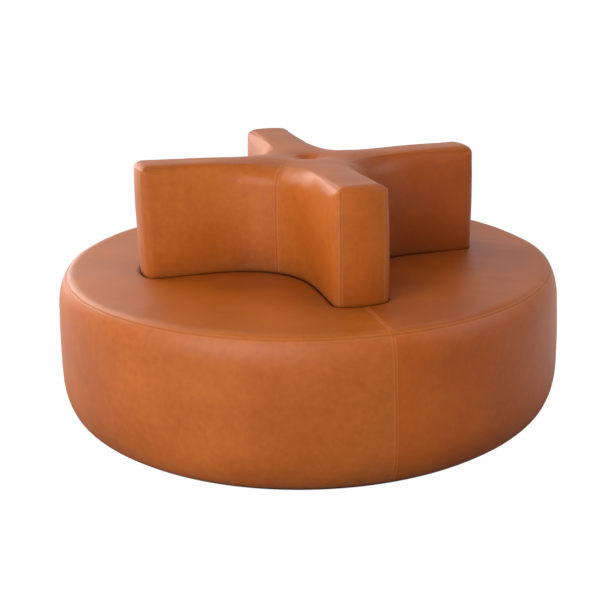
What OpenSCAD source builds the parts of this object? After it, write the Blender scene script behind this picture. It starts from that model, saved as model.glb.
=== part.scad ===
// Round leather island seat with a four-armed back cushion standing on it.
// Millimetres, +Z up, floor at z = 0, seat axis on the origin, front arm along -Y.

/* [Seat drum] */
// Diameter over the leather at the widest point
seat_d = 1500; // [1400:10:1600]
// Height of the seat above the floor
seat_h = 425; // [400:5:470]
// How far the leather tucks in at the foot
tuck_w = 60; // [40:1:80]
// Height of the rounded tuck above the hem
tuck_h = 124; // [80:1:150]
// How much smaller the radius is at the top of the wall than at the widest point
wall_taper = 7.5; // [2:0.5:15]
// Reach of the rounded shoulder towards the middle
shoulder_w = 44; // [30:1:60]
// Height of the rounded shoulder
shoulder_h = 98; // [70:1:110]
// Place of the rim seam round the shoulder, in degrees above the wall
rim_seam_angle = 66; // [45:1:80]
// Fall of the crowned seat top from the back's foot to the shoulder
crown_fall = 2; // [0.5:0.5:8]
// Flat ring of the seat top left outside the arm ends
crown_margin = 15; // [5:1:40]

/* [Leather and padding] */
// Thickness of the leather
leather_t = 1.6; // [1.2:0.1:2.4]
// Width of leather turned under the base board
hem_w = 45; // [30:1:60]
// Thickness of the polyester wadding over the seat foam
wadding_t = 8; // [4:1:14]
// Depth of the seat foam in the middle of the seat
seat_foam_t = 100; // [70:5:120]
// Thickness of side foam left at the hem
foam_lip = 6; // [3:1:12]
// Slack between neighbouring soft layers
layer_gap = 0.3; // [0.2:0.05:0.5]

/* [Seat frame] */
// Thickness of the base board
base_t = 18; // [12:1:24]
// Thickness of the seat deck
deck_t = 18; // [12:1:24]
// Thickness of the bent wall boards
wall_t = 5; // [3:0.5:8]
// Number of radial ribs
rib_count = 8; // [6:1:8]
// Thickness of a rib
rib_t = 18; // [12:1:24]
// Width of the octagonal core across its flats
core_w = 300; // [240:10:400]
// Thickness of the core's wall
core_t = 18; // [12:1:30]
// Slack between wooden pieces that are slid together
wood_gap = 0.2; // [0.1:0.05:0.4]
// Thickness of the woven dust cover
dust_t = 1; // [0.5:0.1:2]
// Width of the hem left bare outside the dust cover
dust_margin = 14; // [8:1:25]

/* [Glides] */
// Number of glides under the base board
glide_count = 8; // [6:1:12]
// Diameter of the circle that the glides stand on
glide_circle_d = 1180; // [1000:10:1200]
// Diameter of a glide
glide_d = 50; // [40:1:70]
// Height of a glide below the dust cover
glide_h = 6; // [4:0.5:12]
// Diameter of the spigot that passes the dust cover
spigot_d = 16; // [14:1:24]
// Diameter of the glide screw
glide_screw_d = 5; // [4:0.5:6]
// Rounding of a glide's lower edge
glide_edge = 2; // [0.5:0.5:3]
// Depth of a glide screw's head inside its glide
glide_screw_sink = 1.5; // [1:0.5:2]
// Length of the glide screw that bites into the base board
glide_screw_bite = 12; // [8:1:12]

/* [Back cushion] */
// Length of the back over two opposite arms
back_span = 1006; // [900:2:1100]
// Height of the back's top above the floor
back_h = 740; // [690:5:800]
// Width of an arm where it stands on the seat
arm_w_base = 137; // [125:1:160]
// Width of an arm at the seam below its top
arm_w_top = 124; // [116:1:140]
// Swell of an arm's flank between foot and top seam
arm_swell = 3; // [0:0.5:8]
// Distance from the axis to the centre of the concave corner, along each arm
corner_c = 307; // [260:1:340]
// Swell of an arm's end between foot and top seam
end_swell = 3; // [0:0.5:8]
// Swell of an arm's end across its width
end_bow = 2.5; // [0:0.5:6]
// Radius of the rolled edge of the top panel
roll_r = 22; // [14:1:30]
// Rise of the crowned top panel between its rolled edges
top_crown = 3; // [1:0.5:8]
// Depth of the buttoned tuft in the middle
tuft_depth = 32; // [20:1:34]
// Distance over which the tuft's slope dies away
tuft_run = 42; // [30:1:60]

/* [Back frame] */
// Thickness of the upright panels
panel_t = 15; // [12:1:18]
// Thickness of the foot cross
foot_cross_t = 18; // [15:1:24]
// Thickness of the head cross
head_cross_t = 15; // [12:1:18]
// Width of the arms of both crosses and of the end boards
cross_w = 100; // [90:1:106]
// Thickness of the end boards
end_board_t = 15; // [12:1:18]
// Foam in front of an end board, up to the leather
end_pad = 40; // [25:1:60]
// Foam above the head cross, up to the leather
top_pad = 43; // [40:1:55]
// Width of the hand notch under the tuft
notch_w = 70; // [60:1:90]
// Depth of the hand notch under the tuft
notch_h = 40; // [30:1:60]

/* [Fixings] */
// Diameter of the back bolts
bolt_d = 8; // [6:1:8]
// Clearance round a bolt
bolt_gap = 0.6; // [0.4:0.1:1]
// Distance of the bolts from the axis, along an arm
bolt_reach = 380; // [340:5:420]
// Distance of the bolts from the middle of an arm
bolt_side = 30; // [24:1:32]
// Outside diameter of the spacer tubes
spacer_d = 26; // [20:1:30]
// Wall of the spacer tubes
spacer_t = 3; // [2:0.5:4]
// Diameter of the washers
washer_d = 30; // [24:1:36]
// Thickness of the washers
washer_t = 2.5; // [1.5:0.5:4]
// Flange diameter of a tee nut
tee_flange_d = 22; // [18:1:26]
// Flange thickness of a tee nut
tee_flange_t = 1.6; // [1.2:0.2:2.4]
// Barrel diameter of a tee nut
tee_barrel_d = 11; // [10:0.5:12]
// Barrel length of a tee nut
tee_barrel_l = 11; // [8:1:12]

/* [Tuft button] */
// Diameter of the leather-covered button
button_d = 30; // [24:1:36]
// Height of the button
button_h = 10; // [6:1:14]
// Flat leather left round the button
button_room = 2; // [1:0.5:5]
// Diameter of the button twine
twine_d = 3; // [2:0.5:4]
// Clearance round the twine
twine_gap = 0.8; // [0.4:0.1:1.5]
// Diameter of the anchor washer under the head cross
anchor_d = 40; // [30:1:50]
// Thickness of the anchor washer
anchor_t = 2; // [1.5:0.5:4]
// Diameter of the knot below the anchor washer
knot_d = 9; // [8:1:12]

/* [Hidden] */
$fn = 96;
leather = "#b5652f";
leather_shade = "#a5582a";
foam = "#e8dcb0";
fibre = "#f2f0ea";
plywood = "#d2b07c";
steel = "#a9adb2";
nylon = "#222222";

// Overshoot of a cut past the face that it opens
cut = 1;
// Points along the rounded stretches of the drum's outline
tuck_steps = 9;
wall_steps = 4;
shoulder_steps = 12;
crown_steps = 4;
// Height levels of a back panel, and points round its concave corner
flank_steps = 6;
corner_steps = 5;
end_steps = 2;
// Rings of the top panel: round its rolled edge, then in to the tuft
roll_steps = 3;
tuft_steps = 6;

SIDES = ["front", "right", "back", "left"];
CORNERS = ["front_right", "back_right", "back_left", "front_left"];

// Levels of the seat, from the floor up
hem_z = glide_h + dust_t;
base_z = hem_z + leather_t;
deck_top = seat_h - leather_t - wadding_t - seat_foam_t - 2 * layer_gap;
deck_z = deck_top - deck_t;
rib_z = base_z + base_t;
seat_r = seat_d / 2;
foot_r = seat_r - tuck_w;
wall_r = foot_r - leather_t - foam_lip;
frame_r = wall_r - wall_t - wood_gap;
crown_r = back_span / 2 + crown_margin;
shoulder_r = seat_r - wall_taper - shoulder_w;
shoulder_z = seat_h - crown_fall - shoulder_h;
tuck_z = hem_z + tuck_h;
seam_z = shoulder_z + shoulder_h * sin(rim_seam_angle);

// Levels of the back, from the seat up
top_seam_z = back_h - top_crown - roll_r;
foot_cross_z = seat_h;
panel_z = foot_cross_z + foot_cross_t;
head_top = back_h - leather_t - top_pad;
head_z = head_top - head_cross_t;
soft_in = leather_t + layer_gap;
end_face = back_span / 2 - end_bow - end_swell;
board_x = end_face - soft_in - end_pad;
panel_x = board_x - end_board_t;
panel_side = panel_t / 2 + layer_gap;
tuft_z = back_h - tuft_depth;
tuft_hole_r = twine_d / 2 + twine_gap;
tuft_flat_r = button_d / 2 + button_room;
knot_z = head_z - anchor_t - knot_d / 2;
// Distance from the axis to the flat of the top panel in a concave corner
waist_r = corner_c * (sqrt(2) - 1) + arm_w_top / 2 - roll_r;

// Fixings
glide_head_d = 2 * glide_screw_d;
glide_head_h = glide_screw_d / 2;
shank_top = panel_z - tee_flange_t;
head_h = 0.65 * bolt_d;
head_d = 1.8 * bolt_d;
hole_d = bolt_d + 2 * bolt_gap;

function mix(a, b, u) = a + (b - a) * u;
function reversed(list) = [for (i = [len(list) - 1 : -1 : 0]) list[i]];

// Outline of the drum from the hem to the axis, drawn in by inset on every side
function drum_outline(inset) = concat(
    [[0, hem_z + inset]],
    [for (i = [0 : tuck_steps])
        let (a = -90 + 90 * i / tuck_steps)
        [foot_r + (tuck_w - inset) * cos(a), tuck_z + (tuck_h - inset) * sin(a)]],
    [for (i = [1 : wall_steps])
        let (u = i / wall_steps)
        [seat_r - inset - wall_taper * u * u, mix(tuck_z, shoulder_z, u)]],
    [for (i = [1 : shoulder_steps])
        let (a = 90 * i / shoulder_steps)
        [shoulder_r + (shoulder_w - inset) * cos(a), shoulder_z + (shoulder_h - inset) * sin(a)]],
    [for (i = [1 : crown_steps])
        let (u = 1 - i / crown_steps)
        [mix(crown_r, shoulder_r, u), seat_h - inset - crown_fall * u * u]],
    [[0, seat_h - inset]]
);

module drum_section(inset) {
    polygon(drum_outline(inset));
}

// The part of a section between two heights, outside a radius
module band(z0, z1, r0 = 0) {
    translate([r0, z0])
        square([2 * seat_r, z1 - z0]);
}

// Half-width of an arm at a height, and the plane of its end there
function rise(z) = min(1, (z - seat_h) / (top_seam_z - seat_h));
function arm_half(z) = mix(arm_w_base, arm_w_top, rise(z)) / 2 + 4 * arm_swell * rise(z) * (1 - rise(z));
function end_plane(z) = end_face + 4 * end_swell * rise(z) * (1 - rise(z));

// A flank at one height, from x_end along the arm and round half of the concave corner
function flank_line(inset, z, x_end) =
    let (w = arm_half(z) - inset, r = corner_c - w)
    concat([[x_end, w]], [for (i = [0 : corner_steps])
        let (a = -90 - 45 * i / corner_steps)
        [corner_c + r * cos(a), corner_c + r * sin(a)]]);

// The same line carried on to the next arm, by mirroring it in the diagonal
function corner_line(inset, z, x_end) =
    let (half = flank_line(inset, z, x_end))
    concat(half, [for (i = [len(half) - 2 : -1 : 0]) [half[i][1], half[i][0]]]);

// An arm's end at one height, bowed across its width
function end_line(inset, side_inset, z) =
    let (w = arm_half(z) - side_inset)
    [for (i = [0 : end_steps])
        let (u = 2 * i / end_steps - 1)
        [end_plane(z) - inset + end_bow * (1 - u * u), u * w]];

// Outline of the whole back at one height: four ends and four concave corners
function back_outline(inset, z) = [for (q = [0 : 3])
    let (c = cos(90 * q), s = sin(90 * q), corner = corner_line(inset, z, end_plane(z) - inset))
    for (p = concat([for (i = [1 : end_steps - 1]) end_line(inset, inset, z)[i]], corner))
        [c * p[0] - s * p[1], s * p[0] + c * p[1]]];

// Heights of the levels of a back panel
function levels(z0, z1) = [for (i = [0 : flank_steps]) mix(z0, z1, i / flank_steps)];

// Triangles of a flat end whose outline runs out along one edge and back along the other
function strip_end(n) = [for (i = [0 : n / 2 - 2])
    each [[i, i + 1, n - 2 - i], [i, n - 2 - i, n - 1 - i]]];

// Triangles of a flat end that is seen whole from its first point
function fan_end(n) = [for (i = [1 : n - 2]) [0, i, i + 1]];

// A closed solid through level rings of points, all with the same number of points
module loft(rings, end_faces) {
    n = len(rings[0]);
    last = len(rings) - 1;
    sides = [for (k = [0 : last - 1]) for (i = [0 : n - 1])
        let (j = (i + 1) % n, a = k * n, b = a + n)
        each [[a + i, b + i, b + j], [a + i, b + j, a + j]]];
    head_faces = [for (f = end_faces) [for (v = reversed(f)) v + last * n]];
    polyhedron([for (r = rings) each r], concat(sides, end_faces, head_faces));
}

// A closed solid through rings that run out over one face and back under the other
module ring_shell(rings) {
    n = len(rings[0]);
    m = len(rings);
    faces = [for (k = [0 : m - 1]) for (i = [0 : n - 1])
        let (j = (i + 1) % n, a = k * n, b = ((k + 1) % m) * n)
        each [[a + i, b + i, b + j], [a + i, b + j, a + j]]];
    polyhedron([for (r = rings) each r], faces);
}

// Lifts a flat line of points to a height
function at_height(line, z) = [for (p = line) [p[0], p[1], z]];

// Depth of the tuft at a distance from the axis
function tuft_dip(rho) = tuft_depth * exp(-pow(max(0, rho - tuft_flat_r) / tuft_run, 1.5));

// Rings of the top panel from the seam over the rolled edge and in to the twine hole.
// The outline has s = 1 and the button's bed s = 0; the rings between turn from cross to circle.
function top_rings(inset) = concat(
    [for (k = [0 : roll_steps])
        let (a = 90 * k / roll_steps, r = roll_r - inset)
        at_height(back_outline(inset + r * (1 - cos(a)), top_seam_z), top_seam_z + r * sin(a))],
    [for (k = [1 : tuft_steps])
        let (s = pow(1 - k / tuft_steps, 1.2))
        [for (p = back_outline(roll_r, top_seam_z))
            let (rho = mix(mix(tuft_flat_r, waist_r, s), norm(p), s * s))
            [for (v = p / norm(p) * rho) v, back_h - top_crown * pow(s, 3) - tuft_dip(rho) - inset]]],
    [[for (p = back_outline(roll_r, top_seam_z))
        [for (v = p / norm(p) * tuft_hole_r) v, tuft_z - inset]]]
);

// Places its children at the bolts: two beside the upright panel of each arm
module at_bolts() {
    for (q = [0 : 3])
        for (side = [-1, 1])
            rotate([0, 0, 90 * q])
                translate([bolt_reach, side * bolt_side, 0])
                    children();
}

// Places its children at the glides
module at_glides() {
    for (i = [0 : glide_count - 1])
        rotate([0, 0, 360 * (i + 0.5) / glide_count])
            translate([glide_circle_d / 2, 0, 0])
                children();
}

// Turns an arm's piece from +X to its own side: front is -Y
module on_side(i) {
    rotate([0, 0, 90 * (i - 1)])
        children();
}

// A cross of two equal bars
module cross_2d(length, width) {
    square([length, width], center = true);
    square([width, length], center = true);
}

// Seat frame

module glide_feet() {
    color(nylon)
        at_glides()
            difference() {
                union() {
                    cylinder(d1 = glide_d - 2 * glide_edge, d2 = glide_d, h = glide_edge);
                    translate([0, 0, glide_edge])
                        cylinder(d = glide_d, h = glide_h - glide_edge);
                    cylinder(d = spigot_d, h = base_z);
                }
                glide_screw(layer_gap);
                translate([0, 0, -cut])
                    cylinder(d = glide_head_d + 2 * layer_gap, h = glide_screw_sink + cut);
            }
}

// One countersunk glide screw, with room round it
module glide_screw(room) {
    translate([0, 0, glide_screw_sink]) {
        cylinder(d1 = glide_head_d + 2 * room, d2 = glide_screw_d + 2 * room, h = glide_head_h + room);
        cylinder(d = glide_screw_d + 2 * room, h = base_z + glide_screw_bite - glide_screw_sink + room);
    }
}

module glide_screws() {
    color(steel)
        at_glides()
            glide_screw(0);
}

module dust_cover() {
    color(nylon)
        difference() {
            translate([0, 0, glide_h])
                cylinder(r = foot_r - dust_margin, h = dust_t);
            at_glides()
                cylinder(d = spigot_d + 2 * layer_gap, h = base_z);
        }
}

module base_board() {
    color(plywood)
        difference() {
            translate([0, 0, base_z])
                cylinder(r = frame_r, h = base_t);
            at_glides()
                glide_screw(wood_gap);
        }
}

module core_box() {
    flat = cos(180 / rib_count);
    color(plywood)
        translate([0, 0, rib_z])
            linear_extrude(deck_z - rib_z)
                difference() {
                    circle(r = core_w / 2 / flat, $fn = rib_count);
                    circle(r = (core_w / 2 - core_t) / flat, $fn = rib_count);
                }
}

module rib(i) {
    end_r = sqrt(frame_r * frame_r - rib_t * rib_t / 4);
    color(plywood)
        rotate([0, 0, 360 * (i - 0.5) / rib_count])
            translate([core_w / 2, -rib_t / 2, rib_z])
                cube([end_r - core_w / 2, rib_t, deck_z - rib_z]);
}

// Half of the bent wall: the left half starts at the back
module wall_board(start) {
    color(plywood)
        rotate_extrude(angle = 180, start = start)
            translate([wall_r - wall_t, base_z])
                square([wall_t, deck_top - base_z]);
}

module seat_deck() {
    color(plywood)
        difference() {
            translate([0, 0, deck_z])
                cylinder(r = frame_r, h = deck_t);
            at_bolts()
                translate([0, 0, deck_z - cut])
                    cylinder(d = hole_d, h = deck_t + 2 * cut);
        }
}

// Seat padding and leather

module side_foam() {
    color(foam)
        rotate_extrude()
            intersection() {
                drum_section(soft_in);
                band(0, deck_top, wall_r + layer_gap);
            }
}

// Room for the spacer tubes through the soft layers of the seat
module spacer_holes() {
    at_bolts()
        translate([0, 0, deck_z])
            cylinder(d = spacer_d + 2 * layer_gap, h = seat_h - deck_z);
}

module seat_foam() {
    color(foam)
        difference() {
            rotate_extrude()
                intersection() {
                    drum_section(soft_in + wadding_t + layer_gap);
                    band(deck_top + layer_gap, seat_h);
                }
            spacer_holes();
        }
}

module seat_wadding() {
    color(fibre)
        difference() {
            rotate_extrude()
                intersection() {
                    difference() {
                        drum_section(soft_in);
                        drum_section(soft_in + wadding_t);
                    }
                    band(deck_top + layer_gap, seat_h);
                }
            spacer_holes();
        }
}

// Half a turn of the drum's leather between two heights, outside a radius
module skin_half(start, z0, z1, r0 = 0) {
    rotate_extrude(angle = 180, start = start)
        intersection() {
            difference() {
                drum_section(0);
                drum_section(leather_t);
            }
            band(z0, z1, r0);
        }
}

module side_leather(start) {
    color(leather)
        skin_half(start, 0, seam_z - layer_gap / 2, foot_r - hem_w);
}

module seat_leather(start) {
    color(leather)
        difference() {
            skin_half(start, seam_z + layer_gap / 2, seat_h + cut);
            at_bolts()
                translate([0, 0, deck_z])
                    cylinder(d = hole_d, h = seat_h);
        }
}

// Fixings

module bolt_spacers() {
    color(nylon)
        at_bolts()
            translate([0, 0, deck_top])
                difference() {
                    cylinder(d = spacer_d, h = seat_h - leather_t - deck_top);
                    translate([0, 0, -cut])
                        cylinder(d = spacer_d - 2 * spacer_t, h = seat_h);
                }
}

module back_bolts() {
    color(steel)
        at_bolts() {
            translate([0, 0, deck_z - washer_t - head_h])
                cylinder(d = head_d, h = head_h, $fn = 6);
            translate([0, 0, deck_z - washer_t])
                cylinder(d = bolt_d, h = shank_top - deck_z + washer_t);
        }
}

module bolt_washers() {
    color(steel)
        at_bolts()
            translate([0, 0, deck_z - washer_t])
                difference() {
                    cylinder(d = washer_d, h = washer_t);
                    translate([0, 0, -cut])
                        cylinder(d = hole_d, h = washer_t + 2 * cut);
                }
}

module tee_nuts() {
    color(steel)
        at_bolts()
            difference() {
                union() {
                    translate([0, 0, panel_z - tee_flange_t])
                        cylinder(d = tee_flange_d, h = tee_flange_t);
                    translate([0, 0, panel_z - tee_barrel_l])
                        cylinder(d = tee_barrel_d, h = tee_barrel_l);
                }
                translate([0, 0, seat_h])
                    cylinder(d = bolt_d + wood_gap, h = foot_cross_t + cut);
            }
}

// Back frame

module foot_cross() {
    color(plywood)
        difference() {
            translate([0, 0, foot_cross_z])
                linear_extrude(foot_cross_t)
                    cross_2d(2 * board_x, cross_w);
            at_bolts() {
                translate([0, 0, foot_cross_z - cut])
                    cylinder(d = tee_barrel_d + 2 * wood_gap, h = foot_cross_t + 2 * cut);
                translate([0, 0, shank_top])
                    cylinder(d = tee_flange_d + 2 * wood_gap, h = foot_cross_t);
            }
        }
}

// An upright panel along X, with a half-lap slot and the hand notch under the tuft
module upright_panel(slot_z) {
    tall = head_z - panel_z;
    slot_w = panel_t + 2 * wood_gap;
    color(plywood)
        difference() {
            translate([-panel_x, -panel_t / 2, panel_z])
                cube([2 * panel_x, panel_t, tall]);
            translate([-slot_w / 2, -panel_t, slot_z])
                cube([slot_w, 2 * panel_t, tall / 2 + wood_gap]);
            translate([-notch_w / 2, -panel_t, head_z - notch_h])
                cube([notch_w, 2 * panel_t, notch_h + cut]);
        }
}

module upright_panel_long() {
    rotate([0, 0, 90])
        upright_panel((panel_z + head_z) / 2);
}

module upright_panel_cross() {
    upright_panel(panel_z - wood_gap);
}

module head_cross() {
    color(plywood)
        difference() {
            translate([0, 0, head_z])
                linear_extrude(head_cross_t)
                    cross_2d(2 * board_x, cross_w);
            translate([0, 0, head_z - cut])
                cylinder(r = tuft_hole_r, h = head_cross_t + 2 * cut);
        }
}

module end_board(i) {
    color(plywood)
        on_side(i)
            translate([panel_x, -cross_w / 2, panel_z])
                cube([end_board_t, cross_w, head_z - panel_z]);
}

// Back padding

// Room inside the foam for the wooden crosses and for the knot under the tuft
module frame_room() {
    translate([0, 0, foot_cross_z - cut])
        linear_extrude(foot_cross_t + cut + layer_gap)
            cross_2d(2 * (board_x + layer_gap), cross_w + 2 * layer_gap);
    translate([0, 0, head_z - layer_gap])
        linear_extrude(head_cross_t + cut + 2 * layer_gap)
            cross_2d(2 * (board_x + layer_gap), cross_w + 2 * layer_gap);
    translate([0, 0, head_z - notch_h])
        cylinder(d = notch_w, h = notch_h);
}

module end_foam(i) {
    color(foam)
        on_side(i)
            difference() {
                loft([for (z = levels(seat_h, head_top))
                    at_height(concat(
                        [[panel_x, arm_half(z) - soft_in], [panel_x, -arm_half(z) + soft_in]],
                        end_line(soft_in, soft_in, z)), z)], fan_end(end_steps + 3));
                frame_room();
                translate([panel_x - cut, -cross_w / 2 - layer_gap, panel_z - cut])
                    cube([end_board_t + cut + layer_gap, cross_w + 2 * layer_gap, head_z - panel_z + 2 * cut]);
            }
}

module corner_foam(i) {
    far = panel_x - layer_gap;
    color(foam)
        on_side(i)
            difference() {
                loft([for (z = levels(seat_h, head_top))
                    at_height(concat(
                        [[panel_side, panel_side], [far, panel_side]],
                        corner_line(soft_in, z, far),
                        [[panel_side, far]]), z)], fan_end(2 * corner_steps + 6));
                frame_room();
            }
}

module top_foam() {
    rings = top_rings(soft_in);
    hole = rings[len(rings) - 1];
    color(foam)
        ring_shell(concat(
            [at_height(hole, head_top + layer_gap)],
            [at_height(back_outline(soft_in, top_seam_z), head_top + layer_gap)],
            rings));
}

// Back leather

module end_leather(i) {
    color(leather_shade)
        on_side(i)
            loft([for (z = levels(seat_h, top_seam_z))
                at_height(concat(end_line(0, 0, z), reversed(end_line(leather_t, 0, z))), z)],
                strip_end(2 * end_steps + 2));
}

// Half of a concave corner's leather, from an arm's end to the seam in the corner
module flank_leather() {
    color(leather)
        loft([for (z = levels(seat_h, top_seam_z))
            let (x = end_plane(z) - leather_t - layer_gap)
            at_height(concat(flank_line(0, z, x), reversed(flank_line(leather_t, z, x))), z)],
            strip_end(2 * corner_steps + 4));
}

module flank_leather_a(i) {
    on_side(i)
        flank_leather();
}

module flank_leather_b(i) {
    on_side(i)
        mirror([1, -1, 0])
            flank_leather();
}

module top_leather() {
    color(leather)
        ring_shell(concat(top_rings(0), reversed(top_rings(leather_t))));
}

module tuft_button() {
    dome_r = (button_d * button_d / 4 + button_h * button_h) / (2 * button_h);
    color(leather_shade)
        translate([0, 0, tuft_z])
            rotate_extrude()
                intersection() {
                    translate([0, button_h - dome_r])
                        circle(r = dome_r);
                    square([button_d, button_h]);
                }
}

module tuft_twine() {
    color(fibre) {
        translate([0, 0, knot_z])
            cylinder(d = twine_d, h = tuft_z - knot_z);
        translate([0, 0, knot_z])
            sphere(d = knot_d);
    }
}

module tuft_anchor() {
    color(steel)
        translate([0, 0, head_z - anchor_t])
            difference() {
                cylinder(d = anchor_d, h = anchor_t);
                translate([0, 0, -cut])
                    cylinder(r = tuft_hole_r, h = anchor_t + 2 * cut);
            }
}

glide_feet();
glide_screws();
dust_cover();
base_board();
core_box();
for (i = [1 : rib_count])
    rib(i);
wall_board(90);  // wall_board_left
wall_board(-90);  // wall_board_right
seat_deck();
side_foam();
seat_foam();
seat_wadding();
side_leather(90);  // side_leather_left
side_leather(-90);  // side_leather_right
seat_leather(90);  // seat_leather_left
seat_leather(-90);  // seat_leather_right
bolt_spacers();
back_bolts();
bolt_washers();
tee_nuts();
foot_cross();
upright_panel_long();
upright_panel_cross();
head_cross();
for (i = [0 : 3]) {
    end_board(i);
    end_foam(i);
    corner_foam(i);
    end_leather(i);
    flank_leather_a(i);
    flank_leather_b(i);
}
top_foam();
top_leather();
tuft_button();
tuft_twine();
tuft_anchor();
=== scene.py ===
# %% [markdown]
# # A round leather island seat
#
# The object is a drum 1.5 m across in cognac leather, with a cross-shaped back cushion
# standing on it, so that sitters sit back to back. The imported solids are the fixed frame.
# Boards, bolts and glides stay and only get a finish. Every soft piece is worked out again
# here as a surface, with its seams, stitches and grain, and stands for its plain solid.

# %% Load the frame
import math

import bmesh
import bpy
import numpy as np
from mathutils import Matrix, Vector


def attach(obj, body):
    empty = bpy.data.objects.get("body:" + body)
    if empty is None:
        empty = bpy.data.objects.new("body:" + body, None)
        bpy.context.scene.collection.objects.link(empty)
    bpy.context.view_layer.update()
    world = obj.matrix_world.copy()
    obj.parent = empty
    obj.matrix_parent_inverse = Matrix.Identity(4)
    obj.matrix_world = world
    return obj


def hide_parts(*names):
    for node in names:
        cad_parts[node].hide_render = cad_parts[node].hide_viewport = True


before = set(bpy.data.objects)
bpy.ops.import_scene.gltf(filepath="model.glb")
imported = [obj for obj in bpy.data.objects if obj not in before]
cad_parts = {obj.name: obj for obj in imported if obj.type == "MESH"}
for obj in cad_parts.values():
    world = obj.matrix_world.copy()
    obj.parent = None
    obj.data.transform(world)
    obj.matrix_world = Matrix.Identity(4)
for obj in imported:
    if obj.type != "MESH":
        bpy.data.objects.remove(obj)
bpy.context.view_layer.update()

# %% [markdown]
# ## The camera
#
# The eye stands in front of the seat, a little to its left, and looks down by 18 degrees.
# It was found from the drum's two ellipses and the corners of the back. The lens is level,
# but the photograph is a crop from the left of a wider picture: upright edges lean a little,
# and the left side is drawn larger. So the camera looks past the seat on its right, and a
# lens shift brings the seat back into the frame.

# %% Camera
PICTURE = 616           # pixels across the photograph; the focal length and the shift are in pixels too
FOCAL_PIXELS = 1074.1
EYE = Vector((-0.8604, -3.0261, 1.3059))
AIM = Vector((0.1981, 0, 0.2318))
SHIFT = (-64.2, 1.7)

look = (AIM - EYE).normalized()
right = look.cross(Vector((0, 0, 1))).normalized()
up = right.cross(look)

camera = bpy.data.objects.new("camera", bpy.data.cameras.new("camera"))
bpy.context.scene.collection.objects.link(camera)
camera.matrix_world = Matrix.Translation(EYE) @ Matrix((right, up, -look)).transposed().to_4x4()
camera.data.sensor_width = 36
camera.data.lens = FOCAL_PIXELS / PICTURE * camera.data.sensor_width
camera.data.shift_x = SHIFT[0] / PICTURE
camera.data.shift_y = SHIFT[1] / PICTURE
bpy.context.scene.camera = camera
print(f"lens {camera.data.lens:.1f} mm, {(EYE - AIM).length:.2f} m from the seat")

# %% [markdown]
# ## Helpers for finishes
#
# A colour is written as an sRGB hex value and turned to linear light, which is what a
# shader works in. One small function adds a node with its settings and its links.

# %% Colours and nodes
def linear(code):
    """An sRGB hex colour as linear red, green, blue and a full alpha."""
    c = np.array([int(code[i:i + 2], 16) for i in (1, 3, 5)]) / 255
    rgb = np.where(c <= 0.04045, c / 12.92, ((c + 0.055) / 1.055) ** 2.4)
    return (*rgb.tolist(), 1.0)


def add(tree, kind, inputs=None, **settings):
    """Adds one node. An input is a plain value, an output, or a node, for its first output in use."""
    node = tree.nodes.new("ShaderNode" + kind)
    for name, value in settings.items():
        setattr(node, name, value)
    for socket, value in (inputs or {}).items():
        if isinstance(value, bpy.types.Node):
            value = next(output for output in value.outputs if output.enabled)
        if isinstance(value, bpy.types.NodeSocket):
            tree.links.new(value, node.inputs[socket])
        else:
            node.inputs[socket].default_value = value
    return node


def blank(name):
    """A new material, its emptied node tree, and the Object coordinates that its patterns read."""
    material = bpy.data.materials.new(name)
    material.use_nodes = True
    material.node_tree.nodes.clear()
    return material, material.node_tree, add(material.node_tree, "TexCoord").outputs["Object"]


A, B = 6, 7         # the two colour inputs of a Mix node
print("leather brown in linear light:", [round(c, 3) for c in linear("#a8530a")])

# %% [markdown]
# ## Leather
#
# The cover is semi-aniline cowhide: dyed through, with a thin clear finish that leaves a
# soft broad gloss. The dye is slightly cloudy, each hide takes it a little differently, the
# grain is a fine pebble, and raised seam edges are rubbed paler, which is also a painted
# highlight on them. Creases, the line where the back meets the seat and the leather beside
# it are darkened in colour: painted shade. A scanned hide could give this, but it would
# repeat and know nothing of the sewing. So the cloud and the grain are noise on Object
# coordinates, and each piece keeps its tint, its rub and its painted shade as attributes. The
# tint is partly its hide's own tone and partly painted shade and painted sheen.

# %% Leather finish
CLOUD = 0.2         # metres across one patch of the dye's cloud
MOTTLE = 0.017      # metres across one fleck of the dye
PEBBLE = 0.0026     # metres across a pebble of the grain, twice life size so that it shows
PULLED = 0.009      # metres across a patch where the pull of the cover flattens the grain

leather, tree, place = blank("semi_aniline_leather")
cloud = add(tree, "TexNoise", {"Vector": place, "Scale": 1 / CLOUD, "Detail": 4.0})
mottle = add(tree, "TexNoise", {"Vector": place, "Scale": 1 / MOTTLE, "Detail": 5.0, "Roughness": 0.6})
patchy = add(tree, "Math", {0: mottle, 1: 0.6, 2: cloud}, operation="MULTIPLY_ADD")
tone = add(tree, "MapRange", {"Value": patchy, "From Min": 0.57, "From Max": 1.03})
dye = add(tree, "Mix", {0: tone, A: linear("#a8530a"), B: linear("#bf6414")}, data_type="RGBA")
# the tint of each piece: partly its hide's own tone, partly painted shade and painted sheen
hide = add(tree, "Attribute", attribute_name="hide")
dye = add(tree, "Mix", {0: 1.0, A: dye, B: hide.outputs["Color"]}, data_type="RGBA", blend_type="MULTIPLY")
crease = add(tree, "Attribute", attribute_name="crease")
# seam ridges rubbed paler, which also serves as a painted highlight on them
rubbed_and_highlit = add(tree, "Attribute", attribute_name="rubbed_and_highlit")
worn_and_highlit = add(tree, "Mix", {0: rubbed_and_highlit.outputs["Fac"], A: dye, B: linear("#cc7631")}, data_type="RGBA")
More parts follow.
